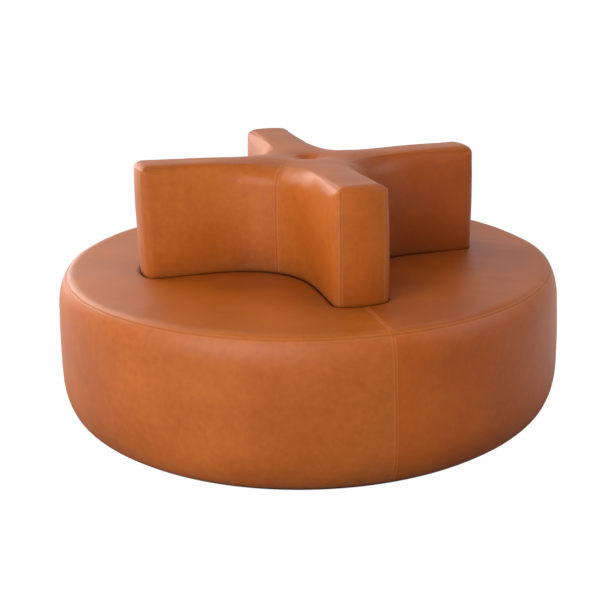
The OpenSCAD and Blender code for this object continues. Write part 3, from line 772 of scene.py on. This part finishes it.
def half_width(z):
    """Half an arm's width: a straight taper plus a swell."""
    u = climb(z)
    return HALF_BASE + (HALF_TOP - HALF_BASE) * u + 4 * HALF_SWELL * u * (1 - u)


def seam_half(z):
    """Half the width between an end's two corner seams."""
    return SEAM_HALF_BASE + (END_HALF - SEAM_HALF_BASE) * climb(z)


def end_reach(z):
    """How far an arm's end stands from the axis."""
    u = climb(z)
    return TOP_END + 4 * END_SWELL * u * (1 - u)


def foot_round(v):
    """A quarter of an ellipse at the foot: how far it is set in at v, and how high it is."""
    a = (np.clip(v / V_FOOT, 0, 1) - 1) * np.pi / 2
    return FOOT_ROUND * (1 - np.cos(a)), FOOT_Z + FOOT_RISE * (1 + np.sin(a))


def flank_parts(t, v):
    """A flank's point, the length of its plan line, and how far off its top seam is, up and along the arm."""
    t, v = np.broadcast_arrays(t, v)
    sx, sy, length = plan_line(t, TOP_HALF, TOP_CORNER, TOP_END, 0.0)
    sy = sy + flare(sx)
    z_seam = top_height(sx, sy)
    roll_h = ROLL_TIGHT + (ROLL_SOFT - ROLL_TIGHT) * smooth((1 - t) * length / ROLL_RUN)
    z_roll = z_seam - roll_h
    inset, foot = foot_round(v)
    flat = np.clip((v - V_FOOT) / (V_ROLL - V_FOOT), 0, 1)
    over = np.clip((v - V_ROLL) / (1 - V_ROLL), 0, 1)
    b = ROLL_ANGLE * over
    k = (np.cos(b) - np.cos(ROLL_ANGLE)) / (1 - np.cos(ROLL_ANGLE))
    z = foot + flat * (z_roll - FOOT_Z - FOOT_RISE) + roll_h * np.sin(b) / np.sin(ROLL_ANGLE)
    half = TOP_HALF + (half_width(np.minimum(z, z_roll)) - TOP_HALF) * k
    corner = TOP_CORNER + (CORNER_C - TOP_CORNER) * k
    end_half = END_HALF + (half_width(np.minimum(z, z_roll)) - END_HALF) * k
    corner_round = np.maximum(end_half - seam_half(z), 0) / (1 - math.cos(ROUND_TURN))
    x, y, line = plan_line(t, half - inset, corner, end_reach(z) - inset, corner_round)
    y = y + (1 - k) * flare(x)
    roll_round = (half_width(z_roll) - seam_half(z_roll)) / (1 - math.cos(ROUND_TURN))
    rx, ry, _ = plan_line(t, half_width(z_roll), CORNER_C, end_reach(z_roll), roll_round)
    below = ROLL_LONG * np.hypot(np.hypot(rx - sx, ry - sy), roll_h) * (1 - over) + OFF_SEAM * (1 - flat)
    return np.stack([x, y, z], axis=-1), line, below, sx


def flank(t, v):
    """Only the point of a flank."""
    return flank_parts(t, v)[0]


coarse_t = np.linspace(0, 1, 44)
FLANK_SWELL = swollen(flank, coarse_t, -1, FLANK_MOST)


def flank_raised(t, v):
    """Points of a flank with the swell and the relief of its three seams, and normals."""
    p, line, below, along = flank_parts(t, v)
    n = normals(flank, t, v, side=-1)
    sewn = (t * line, (1 - t) * line, below)
    h = seam_relief(sewn[0]) + seam_relief(sewn[1]) + plain_relief(p, below, sewn_hard(along))
    h = h + unevenness(p, *FLANK_SLOW) + unevenness(p, *FLANK_QUICK)
    h = h + np.exp(-(sewn[0] / FOLD_RUN) ** 2) * unevenness(p * [1, 1, FOLD_LEAN], FOLD_WIDE, FOLD)
    h = h + between(FLANK_SWELL, coarse_t, *np.broadcast_arrays(t, v))
    return p + n * h[..., None], n, np.minimum(sewn[0], sewn[1])


def tucked(points, n, d, way):
    """Adds a column under the foot, further in against a way, where the cover is stapled."""
    points = np.concatenate([points[:, :1] - TUCK_UNDER * way, points], axis=1)
    return points, np.concatenate([n[:, :1], n], axis=1), np.pad(d, [(0, 0), (1, 0)], mode="edge")


print(f"plan line of a flank {flank_parts(np.zeros(1), np.full(1, 0.5))[1][0]:.0f} mm at half its height")

# %% Flank panels
SIDES = ["right", "back", "left", "front"]
CORNERS = ["back_right", "back_left", "front_left", "front_right"]
PANEL_EDGES = ("low", "high", "right")
MIRROR = np.eye(3)[[1, 0, 2]]       # swaps x and y

flank_v = np.concatenate([np.linspace(0, V_FOOT, 8), np.linspace(V_FOOT, V_ROLL, 40)[1:],
                          V_ROLL + (1 - V_ROLL) * (1 - spaced(1, 0.35, 14, 16)[::-1][1:])])
points, n, d = flank_raised(flank_t[:, None], flank_v[None])
flat_way = n[:, -1] * [1, 1, 0]
n[:, -1] = EDGE_LEAN * flat_way / np.linalg.norm(flat_way, axis=1, keepdims=True) + [0, 0, EDGE_RISE]
points, n, d = tucked(points, n, d, flat_way[:, None])
for quarter, corner in enumerate(CORNERS):
    for letter, swap, side in (("a", np.eye(3), -1), ("b", MIRROR, 1)):
        foam = [f"corner_foam_{corner}"] if letter == "a" else []
        made = leather_cover(f"flank_cover_{corner}_{letter}", about(points @ swap, quarter), d,
                             points[..., 2] - FOOT_Z, PANEL_EDGES, about(n @ swap, quarter), side,
                             f"flank_leather_{corner}_{letter}", *foam)
print("eight flanks of", len(made.data.polygons), "faces")

# %% [markdown]
# ## Ends
#
# An arm's end is one panel between two corner seams. It bows out by a few millimetres both
# ways, and its foot is rounded in like the flanks'. A subdivided box would round its corners
# away, so the panel is a grid of its own that ends exactly where the flanks and the top end.

# %% End panels
END_MOST = 4.0
END_UNEVEN = (150, 0.6)


def end(u, v):
    """Across by u from -1 to 1 and up by v: foot round, then a swell upwards and a bow across."""
    u, v = np.broadcast_arrays(u, v)
    inset, foot = foot_round(v)
    bow = end_bow(END_HALF * np.abs(u))
    z_top = top_height(TOP_END + bow, END_HALF * u)
    z = foot + np.clip((v - V_FOOT) / (1 - V_FOOT), 0, 1) * (z_top - FOOT_Z - FOOT_RISE)
    return np.stack([end_reach(z) + bow - inset, u * (seam_half(z) - inset), z], axis=-1)


coarse_u = np.linspace(-1, 1, 24)
END_SWELL_MAP = swollen(end, coarse_u, 1, END_MOST)


def end_raised(u, v):
    """Points of an end with the swell and the relief of its three seams, and normals."""
    p = end(u, v)
    n = normals(end, u, v)
    sewn = ((1 - np.abs(u)) * seam_half(p[..., 2]), (1 - v) * (SEAM_Z - FOOT_Z))
    h = seam_relief(sewn[0]) + plain_relief(p, sewn[1]) + unevenness(p, *END_UNEVEN)
    h = h + between(END_SWELL_MAP, coarse_u, *np.broadcast_arrays(u, v))
    return p + n * h[..., None], n, sewn[0]


half_u = spaced(1, 0.25, 14, 14)
end_u = np.concatenate([half_u - 1, 1 - half_u[-2::-1]])
end_v = np.concatenate([np.linspace(0, V_FOOT, 8), 1 - spaced(1 - V_FOOT, 0.05, 18, 40)[-2::-1]])
points, n, d = end_raised(end_u[:, None], end_v[None])
n[:, -1] = [EDGE_LEAN, 0, EDGE_RISE]
points, n, d = tucked(points, n, d, np.array([1, 0, 0]))
for quarter, arm_side in enumerate(SIDES):
    made = leather_cover(f"end_cover_{arm_side}", about(points, quarter), d, points[..., 2] - FOOT_Z,
                         PANEL_EDGES, about(n, quarter), 1,
                         f"end_leather_{arm_side}", f"end_foam_{arm_side}")
print("four ends of", len(made.data.polygons), "faces")

# %% [markdown]
# ## The tuft's button
#
# A domed button covered in the same leather sits at the bottom of the tuft, and a twine
# pulls it down. A squashed ball would do from afar, but a covered button has a flat back and
# faint gathers at its edge, so it is an outline turned about the axis.

# %% Button
BUTTON_R, BUTTON_H, BUTTON_Z = 15.0, 10.0, 708.0
BUTTON_EDGE = 0.28                      # share of the height below its widest ring
BUTTON_FOLDS, BUTTON_FOLD = 24, 0.012   # the gathers, and how far they stand out for the radius


def button(s, turn):
    """From the top of the dome (s = 0) over its rounded edge and in underneath (s = 1)."""
    a = s * np.pi
    rim = np.clip(np.sin(a), 0, 1)
    r = BUTTON_R * rim ** 0.8 * (1 + BUTTON_FOLD * np.cos(BUTTON_FOLDS * turn) * rim ** 4)
    tall = np.where(a < np.pi / 2, 1 - BUTTON_EDGE, BUTTON_EDGE)
    z = BUTTON_Z + BUTTON_H * (BUTTON_EDGE + tall * np.cos(a))
    return np.stack(np.broadcast_arrays(r * np.cos(turn), r * np.sin(turn), z), axis=-1)


around = np.linspace(0, 2 * np.pi, 96, endpoint=False)
dome = button(np.linspace(0, 1, 40)[:, None], around[None])
mesh = grid_mesh("tuft_cap", dome, wrap=True)
seam_marks(mesh, *np.full((2, *dome.shape[:2]), FAR))
cap = piece("tuft_cap", mesh, leather, "leather", "tuft_button")
print(cap.name, len(mesh.polygons), "faces")

# %% [markdown]
# ## Topstitching
#
# Each stitch is a short bent length of thread: it comes up out of the leather, lies along
# the channel and goes down again. A painted dash would lie flat and lose its shadow, so every
# stitch is a mesh. A row is laid along a path on the raised surface, and all stitches of a
# seam are one piece. With six sides and four lengths a stitch has only a few dozen faces.

# %% Stitch helper
PITCH, STITCH, THREAD_R = 7.0, 5.4, 0.55
STATIONS = np.array([0, 0.14, 0.5, 0.86, 1])
LIFT = np.array([-0.7, 0.15, 0.35, 0.15, -0.7])
THIN = np.array([0.5, 1, 1, 1, 0.5])
RING = np.linspace(0, 2 * np.pi, 6, endpoint=False)


def stitch_row(path, n):
    """Rings of six points at five stations of every stitch along a path, square to its direction."""
    s = np.concatenate([[0], np.cumsum(np.linalg.norm(np.diff(path, axis=0), axis=1))])
    starts = np.arange(0, s[-1] - PITCH, PITCH) + (PITCH - STITCH) / 2
    at = starts[:, None] + STATIONS * STITCH
    p = np.stack([np.interp(at, s, path[:, i]) for i in range(3)], axis=-1)
    up_way = np.stack([np.interp(at, s, n[:, i]) for i in range(3)], axis=-1)
    ahead = p[:, -1:] - p[:, :1]
    ahead = ahead / np.linalg.norm(ahead, axis=-1, keepdims=True)
    across = np.cross(up_way, np.broadcast_to(ahead, up_way.shape))
    middle = p + up_way * LIFT[:, None]
    ring_way = across[..., None, :] * np.cos(RING)[:, None] + up_way[..., None, :] * np.sin(RING)[:, None]
    return middle[..., None, :] + THREAD_R * THIN[:, None, None] * ring_way


def stitching(name, rows):
    """One piece from rows of stitches: side faces, and a face on both ends of every stitch."""
    points = np.concatenate(rows)
    index = np.arange(points[..., 0].size).reshape(points.shape[:-1])
    near, far = index[:, :-1], index[:, 1:]
    quads = np.stack([near, np.roll(near, -1, -1), np.roll(far, -1, -1), far], axis=-1).reshape(-1, 4)
    caps = np.concatenate([index[:, 0, ::-1], index[:, -1]])
    mesh = bpy.data.meshes.new(name)
    mesh.from_pydata(points.reshape(-1, 3) * MM, [], quads.tolist() + caps.tolist())
    mesh.shade_smooth()
    piece(name, mesh, thread, "twine")
    print(name, len(points), "stitches")


print(f"a stitch of {STITCH} mm every {PITCH} mm")

# %% Stitches of the drum
BESIDE = (-STITCH_AT, STITCH_AT)        # a row on each side of a seam
COVER_IN, COVER_END = 200.0, 40.0       # the cover seam's rows run from this far inside the rim to the hem

turn = np.linspace(0, 2 * np.pi, 1500)
stitching("rim_stitches", [stitch_row(*drum_raised(np.full_like(turn, RIM_S + off), turn)) for off in BESIDE])
rows = []
along_s = np.arange(RIM_S - COVER_IN, OUT_LENGTH - COVER_END, 3.0)
for way in (-1, 1):
    for off in BESIDE:
        lean = np.arcsin(off / np.interp(along_s, OUT_S, OUT_R))
        rows.append(stitch_row(*drum_raised(along_s, way * (np.pi / 2 - lean))))
stitching("cover_stitches", rows)

# %% Stitches of the back
STOPS = 200
FLANK_LAST, END_LAST = 0.93, 0.985      # the rows end here, just short of the top seam

rows = []
v_line = np.linspace(V_FOOT, FLANK_LAST, STOPS)
line = flank_parts(np.full(STOPS, 0.5), v_line)[1]
seam_rows = [flank_raised(t, v_line)[:2] for t in (STITCH_AT / line, 1 - STITCH_AT / line)]
end_u = 1 - STITCH_AT / seam_half(np.linspace(FOOT_Z, SEAM_Z, STOPS))
end_row = end_raised(end_u, np.linspace(V_FOOT, END_LAST, STOPS))[:2]
for quarter in range(4):
    for swap in (np.eye(3), MIRROR):
        rows += [stitch_row(about(p @ swap, quarter), about(n @ swap, quarter)) for p, n in seam_rows]
    for flip in (1, -1):
        rows.append(stitch_row(*(about(a * [1, flip, 1], quarter) for a in end_row)))
stitching("back_stitches", rows)

# %% [markdown]
# ## Under the seat
#
# A black nonwoven dust cloth is stapled under the base. Its fibres are pressed together at
# small dots, so it is matt and dimpled. Drawn tight, it needs no cloth run: it is a flat disc
# with half a millimetre of sag between the glides.

# %% Dust cloth
DOTS, FELT = 0.003, 0.0012      # metres between the pressed dots, and across a tuft of fibres
DUST_R, DUST_Z, SAG, GLIDES = 676.0, 6.3, 0.5, 8

dust, tree, place = blank("nonwoven_polypropylene_cloth")
dots = add(tree, "TexVoronoi", {"Vector": place, "Scale": 1 / DOTS, "Randomness": 0.15})
felt = add(tree, "TexNoise", {"Vector": place, "Scale": 1 / FELT, "Detail": 4.0})
black = add(tree, "Mix", {0: felt, A: linear("#161514"), B: linear("#2e2c2a")}, data_type="RGBA")
pressed = add(tree, "Bump", {"Height": dots, "Strength": 0.5, "Distance": 0.0003})
matt = add(tree, "BsdfPrincipled", {"Base Color": black, "Roughness": 0.85, "Normal": pressed})
add(tree, "OutputMaterial", {"Surface": matt})

r = np.linspace(0, DUST_R, 60)[:, None]
turn = np.linspace(0, 2 * np.pi, 240, endpoint=False)[None]
sag = SAG * (1 - (r / DUST_R) ** 2) * (0.6 + 0.4 * np.cos(GLIDES * turn) * r / DUST_R)
points = np.stack(np.broadcast_arrays(r * np.cos(turn), r * np.sin(turn), DUST_Z - sag), axis=-1)
mesh = grid_mesh("dust_cloth", points, side=-1, wrap=True)
cloth = piece("dust_cloth", mesh, dust, "dust_cloth", "dust_cover")
print(cloth.name, len(mesh.polygons), "faces")

# %% [markdown]
# ## The tie of the tuft
#
# The button is held by a waxed jute twine that runs down through the top pad to a washer
# under the head board. The wax leaves it dull and slightly hairy. A plain rod would miss the
# twist, so it is two strands, each a small ring carried along a helix, and a knot under the
# washer made of a few tight turns.

# %% Twine
TWINE_LOW, TWINE_HIGH, STRAND_R, TWISTS = 674.0, 708.0, 0.75, 4.5
KNOT_R, KNOT_H, KNOT_TURNS, KNOT_STRAND_R = 3.4, 2.4, 5, 1.1


def speckled(name, size, detail, dark, pale, roughness, strength, depth):
    """A finish whose colour and relief both follow one noise with specks of a real size in metres."""
    material, tree, place = blank(name)
    specks = add(tree, "TexNoise", {"Vector": place, "Scale": 1 / size, "Detail": detail})
    colour = add(tree, "Mix", {0: specks, A: linear(dark), B: linear(pale)}, data_type="RGBA")
    relief = add(tree, "Bump", {"Height": specks, "Strength": strength, "Distance": depth})
    surface = add(tree, "BsdfPrincipled", {"Base Color": colour, "Roughness": roughness, "Normal": relief})
    add(tree, "OutputMaterial", {"Surface": surface})
    return material


def tube(path, radius, sides=10):
    """A ring of points carried along a path, square to it, drawn together at both ends."""
    ahead = np.gradient(path, axis=0)
    ahead /= np.linalg.norm(ahead, axis=1, keepdims=True)
    across = np.cross(ahead, [0.31, 0.17, 0.93])
    across /= np.linalg.norm(across, axis=1, keepdims=True)
    other = np.cross(ahead, across)
    a = np.linspace(0, 2 * np.pi, sides, endpoint=False)[None, :, None]
    size = np.full((len(path), 1, 1), radius)
    size[[0, -1]] = 0
    return path[:, None] + size * (across[:, None] * np.cos(a) + other[:, None] * np.sin(a))


jute = speckled("waxed_jute_twine", 0.0008, 4.0, "#8d7145", "#c9ae7c", 0.7, 0.6, 0.0003)
h = np.linspace(0, 1, 120)
strands = []
for start in (0, np.pi):
    a = start + h * TWISTS * 2 * np.pi
    helix = [STRAND_R * np.cos(a), STRAND_R * np.sin(a), TWINE_LOW + (TWINE_HIGH - TWINE_LOW) * h]
    strands.append(tube(np.stack(helix, axis=1), STRAND_R))
a = h * KNOT_TURNS * 2 * np.pi
wound = KNOT_R * (0.55 + 0.25 * np.cos(0.4 * a))
knot = [wound * np.cos(a), wound * np.sin(a), TWINE_LOW + KNOT_H * np.sin(0.4 * a + 0.6)]
strands.append(tube(np.stack(knot, axis=1), KNOT_STRAND_R))
mesh = grid_mesh("tuft_tie", *strands, side=-1, wrap=True)
tie = piece("tuft_tie", mesh, jute, "twine", "tuft_twine")
print(tie.name, len(mesh.polygons), "faces")

# %% [markdown]
# ## Boards and metal
#
# The solids that stay are birch plywood boards, zinc plated steel fixings, black nylon
# glides and pale polypropylene spacer tubes. They are hidden under the cover, but the
# underside shows the glides. The solids have the right shapes, so they only get finishes:
# veneer drawn out along its grain, zinc with faint patches of crystals, and moulded plastic
# with a slight orange peel.

# %% Finishes of the solids
GRAIN = 0.006       # metres between the dark lines of the veneer
CRYSTAL = 0.0025    # metres across a crystal of the zinc

# Peeled birch: pale and satin, with long thin lines and fine pores.
ply, tree, place = blank("birch_plywood")
stretched = add(tree, "Mapping", {"Vector": place, "Scale": (0.08, 1.0, 1.0)})
veins = add(tree, "TexNoise", {"Vector": stretched, "Scale": 1 / GRAIN, "Detail": 4.0, "Distortion": 0.4})
veneer = add(tree, "Mix", {0: veins, A: linear("#b98e58"), B: linear("#e0c091")}, data_type="RGBA")
pores = add(tree, "Bump", {"Height": veins, "Strength": 0.2, "Distance": 0.0004})
board = add(tree, "BsdfPrincipled", {"Base Color": veneer, "Roughness": 0.6, "Normal": pores})
add(tree, "OutputMaterial", {"Surface": board})

# Plated steel: a bright, slightly warm grey whose gloss changes a little from crystal to crystal.
zinc, tree, place = blank("zinc_plated_steel")
spangle = add(tree, "TexVoronoi", {"Vector": place, "Scale": 1 / CRYSTAL})
dull = add(tree, "MapRange", {"Value": spangle, "To Min": 0.28, "To Max": 0.45})
plated = add(tree, "Mix", {0: spangle, A: linear("#b9bcc0"), B: linear("#d6d3c6")}, data_type="RGBA")
metal = add(tree, "BsdfPrincipled", {"Base Color": plated, "Metallic": 1.0, "Roughness": dull})
add(tree, "OutputMaterial", {"Surface": metal})

# Moulded plastics: one even colour and a half-matt skin, black on the glides and milky on the tubes.
nylon = speckled("black_nylon", 0.0012, 2.0, "#131313", "#262626", 0.48, 0.25, 0.0002)
milky = speckled("natural_polypropylene", 0.002, 2.0, "#cfccc2", "#e6e4dc", 0.48, 0.25, 0.0002)

finishes = {"glide_feet": nylon, "bolt_spacers": milky}
finishes |= {name: zinc for name in ("back_bolts", "bolt_washers", "glide_screws", "tee_nuts", "tuft_anchor")}
shown = {name: obj for name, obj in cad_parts.items() if not obj.hide_render}
for name, obj in shown.items():
    obj.data.materials.clear()
    obj.data.materials.append(finishes.get(name, ply))
print(len(shown), "solids stay, of which", len(shown.keys() - finishes.keys()), "are plywood")

# %% [markdown]
# ## Floor, background and light
#
# The photograph is cut out on white. More light would bleach the leather, so the floor and
# the world are plain white only where they are seen, straight or in a reflection, and the
# floor still takes the seat's shadow. In the leather's gloss the floor is dim near the drum,
# as a real floor in its shade is. Seen from below, the floor is clear, and a lamp under it
# lights the underside alone. Five soft boxes light the rest, mostly from the left, so that
# the right sides fall into shade.
# Close round the drum's edge the floor is painted dark, as a painted shadow.

# %% Floor
VEIL, WHITE = 0.9, 1.13               # how much of the floor is plain white, and how bright that is
SHADE_FROM, SHADE_TO = 0.688, 0.692   # metres from the axis: the shadow painted on the floor under the drum ends here
DUSK_TO = 1.15                        # and a gloss sees the floor dim up to here
FLOOR_HALF = 40

floor_paint, tree, place = blank("white_floor")
rays = add(tree, "LightPath")
away = add(tree, "VectorMath", {0: place}, operation="LENGTH")
open_floor = add(tree, "MapRange", {
    "Value": away, "From Min": SHADE_FROM, "From Max": SHADE_TO, "To Max": VEIL})
dusk = add(tree, "MapRange", {"Value": away, "From Min": SHADE_TO, "From Max": DUSK_TO, "To Max": VEIL})
seen = add(tree, "Math", {
    0: rays.outputs["Is Camera Ray"], 1: rays.outputs["Is Transmission Ray"]}, operation="MAXIMUM")
veil = add(tree, "Math", {0: seen, 1: open_floor}, operation="MULTIPLY")
mirrored = add(tree, "Math", {0: rays.outputs["Is Glossy Ray"], 1: dusk, 2: veil}, operation="MULTIPLY_ADD")
# painted shadow: the floor under the drum's edge is painted dark, and grey beyond
floor_with_painted_shadow = add(tree, "Mix", {0: open_floor, A: linear("#3a3431"), B: linear("#8c8c8c")}, data_type="RGBA")
lit = add(tree, "BsdfDiffuse", {"Color": floor_with_painted_shadow})
white = add(tree, "Emission", {"Color": (1, 1, 1, 1), "Strength": WHITE})
ground = add(tree, "MixShader", {0: mirrored, 1: lit, 2: white})
covered = add(tree, "Math", {0: away, 1: SHADE_FROM}, operation="LESS_THAN")
window = add(tree, "Math", {0: covered, 1: rays.outputs["Is Shadow Ray"]}, operation="MULTIPLY")
below = add(tree, "NewGeometry").outputs["Backfacing"]
through = add(tree, "Math", {0: window, 1: below}, operation="MAXIMUM")
clear = add(tree, "BsdfTransparent")
ground = add(tree, "MixShader", {0: through, 1: ground, 2: clear})
add(tree, "OutputMaterial", {"Surface": ground})
floor_mesh = bpy.data.meshes.new("floor")
corners = [(x * FLOOR_HALF, y * FLOOR_HALF, 0) for x, y in ((-1, -1), (1, -1), (1, 1), (-1, 1))]
floor_mesh.from_pydata(corners, [], [(0, 1, 2, 3)])
floor_mesh.materials.append(floor_paint)
floor = bpy.data.objects.new("floor", floor_mesh)
bpy.context.scene.collection.objects.link(floor)
print("floor", 2 * FLOOR_HALF, "m wide")

# %% World
world = bpy.data.worlds.new("studio")
bpy.context.scene.world = world
world.use_nodes = True
tree = world.node_tree
tree.nodes.clear()
rays = add(tree, "LightPath")
seen = add(tree, "Math", {
    0: rays.outputs["Is Camera Ray"], 1: rays.outputs["Is Glossy Ray"]}, operation="MAXIMUM")
seen = add(tree, "Math", {0: seen, 1: rays.outputs["Is Transmission Ray"]}, operation="MAXIMUM")
sky = add(tree, "Background", {"Color": (1, 1, 1, 1), "Strength": 0.02})
white = add(tree, "Background", {"Color": (1, 1, 1, 1), "Strength": 1.0})
air = add(tree, "MixShader", {0: seen, 1: sky, 2: white})
add(tree, "OutputWorld", {"Surface": air})
bpy.context.scene.view_settings.view_transform = "Standard"
print(f"{world.name}: {len(tree.nodes)} nodes")

# %% Lamps
MIDDLE = Vector((0, 0, 0.4))


def lamp(name, turn, lift, away, size, power):
    """A square soft box that faces the seat, at an angle about it, an angle above it and a distance."""
    light = bpy.data.objects.new(name, bpy.data.lights.new(name, "AREA"))
    bpy.context.scene.collection.objects.link(light)
    light.data.size, light.data.energy = size, power
    turn, lift = math.radians(turn), math.radians(lift)
    way = Vector((math.cos(turn) * math.cos(lift), math.sin(turn) * math.cos(lift), math.sin(lift)))
    light.location = MIDDLE + away * way
    light.rotation_mode = "QUATERNION"
    light.rotation_quaternion = (-way).to_track_quat("-Z", "Y")


LAMPS = {       # degrees about the seat, degrees above it, metres away, metres wide, watts
    "key": (212, 22, 4.0, 2.4, 83), "front": (240, 22, 4.0, 2.4, 51), "fill": (328, 28, 4.0, 2.4, 46),
    "low_back": (118, 14, 4.0, 2.4, 52), "high_back": (135, 32, 4.0, 2.4, 74),
    "under": (0, -90, 3.0, 1.2, 90)}
for name, place in LAMPS.items():
    lamp(name, *place)
print(len(LAMPS), "lamps:", ", ".join(LAMPS))
